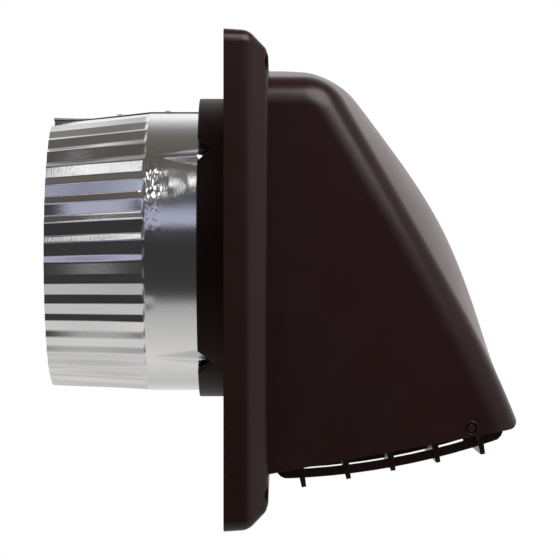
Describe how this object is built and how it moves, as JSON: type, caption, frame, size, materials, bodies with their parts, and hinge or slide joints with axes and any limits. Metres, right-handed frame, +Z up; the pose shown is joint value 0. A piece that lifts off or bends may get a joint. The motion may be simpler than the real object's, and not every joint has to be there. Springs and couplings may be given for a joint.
{
  "type": "vent cap",
  "caption": "Hooded wall vent cap for a round duct: square flange, sloping hood with an open bottom, crimped tailpipe, swinging damper flap and hinged bird guard.",
  "frame": {"origin": "on the collar's axis, in the plane of the wall that the flange's rear rim lies against", "axes": "+Z up, +Y into the wall along the duct, the hood stands out towards -Y, +X to the right as seen from in front"},
  "size_m": [0.1714, 0.1655, 0.1714],
  "materials": {
    "brown_plastic": "fine satin moulded plastic",
    "aluminium_sheet": "bright rolled sheet, crimped",
    "flap_plastic": "satin moulded plastic",
    "guard_plastic": "satin moulded plastic"
  },
  "bodies": {
    "housing": {"hood_body": "brown_plastic", "tailpipe": "aluminium_sheet"},
    "damper": {"damper_flap": "flap_plastic"},
    "guard": {"bird_guard": "guard_plastic"}
  },
  "joints": [
    {"name": "damper_hinge", "type": "hinge", "parent": "housing", "child": "damper", "pos_m": [0, -0.0178, 0.0546], "axis": [-1, 0, 0], "range_deg": [0, 38]},
    {"name": "guard_hinge", "type": "hinge", "parent": "housing", "child": "guard", "pos_m": [0, -0.08537, -0.06317], "axis": [-1, 0, 0], "range_deg": [0, 90]}
  ]
}
